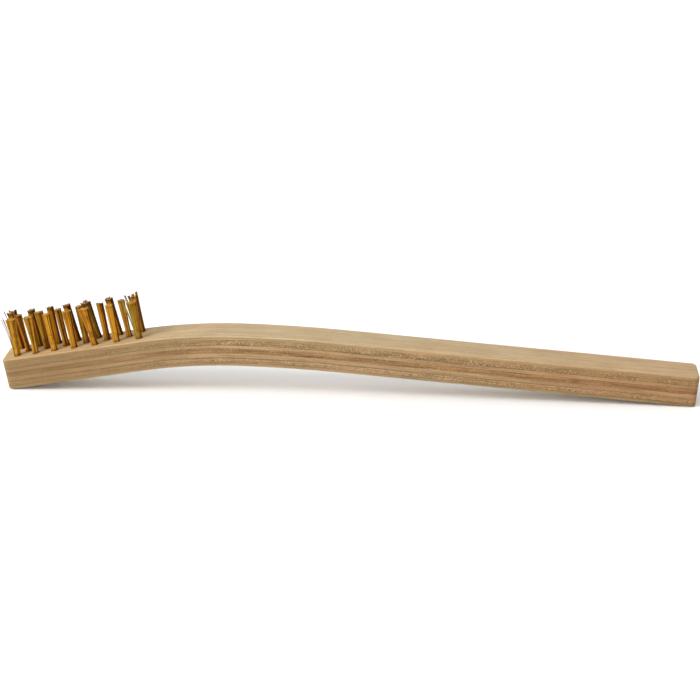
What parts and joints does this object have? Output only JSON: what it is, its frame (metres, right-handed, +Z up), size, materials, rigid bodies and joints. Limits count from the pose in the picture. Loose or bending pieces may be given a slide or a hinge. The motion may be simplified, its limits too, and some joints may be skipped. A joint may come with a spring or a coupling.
{
  "type": "wire brush",
  "caption": "Small scratch brush: a bent plywood strip with short, stiff brass wire tufts in three staggered rows on its head.",
  "frame": {"origin": "on the surface the brush stands on, under the middle of its length and width", "axes": "+X from the bristled head to the tail, +Y across the handle towards the back row of tufts, +Z up, the way the bristles point"},
  "size_m": [0.1984, 0.011, 0.027],
  "materials": {
    "long_grain_veneer": "bare sanded wood, grain along the handle",
    "cross_grain_veneer": "bare sanded wood, end grain at the sides",
    "top_veneer": "bare sanded wood, pale",
    "brass_wire": "drawn wire, slightly tarnished",
    "anchor_wire": "plain flat wire"
  },
  "bodies": {
    "root": {"ply_1_underside": "long_grain_veneer", "ply_2_cross_grain": "cross_grain_veneer", "ply_3_long_grain": "long_grain_veneer", "ply_4_cross_grain": "cross_grain_veneer", "ply_5_long_grain": "long_grain_veneer", "ply_6_cross_grain": "cross_grain_veneer", "ply_7_top": "top_veneer", "tuft_front_1": "brass_wire", "tuft_front_2": "brass_wire", "tuft_front_3": "brass_wire", "tuft_front_4": "brass_wire", "tuft_front_5": "brass_wire", "tuft_front_6": "brass_wire", "tuft_front_7": "brass_wire", "tuft_middle_1": "brass_wire", "tuft_middle_2": "brass_wire", "tuft_middle_3": "brass_wire", "tuft_middle_4": "brass_wire", "tuft_middle_5": "brass_wire", "tuft_middle_6": "brass_wire", "tuft_back_1": "brass_wire", "tuft_back_2": "brass_wire", "tuft_back_3": "brass_wire", "tuft_back_4": "brass_wire", "tuft_back_5": "brass_wire", "tuft_back_6": "brass_wire", "tuft_back_7": "brass_wire", "anchor_front_1": "anchor_wire", "anchor_front_2": "anchor_wire", "anchor_front_3": "anchor_wire", "anchor_front_4": "anchor_wire", "anchor_front_5": "anchor_wire", "anchor_front_6": "anchor_wire", "anchor_front_7": "anchor_wire", "anchor_middle_1": "anchor_wire", "anchor_middle_2": "anchor_wire", "anchor_middle_3": "anchor_wire", "anchor_middle_4": "anchor_wire", "anchor_middle_5": "anchor_wire", "anchor_middle_6": "anchor_wire", "anchor_back_1": "anchor_wire", "anchor_back_2": "anchor_wire", "anchor_back_3": "anchor_wire", "anchor_back_4": "anchor_wire", "anchor_back_5": "anchor_wire", "anchor_back_6": "anchor_wire", "anchor_back_7": "anchor_wire"}
  },
  "joints": []
}
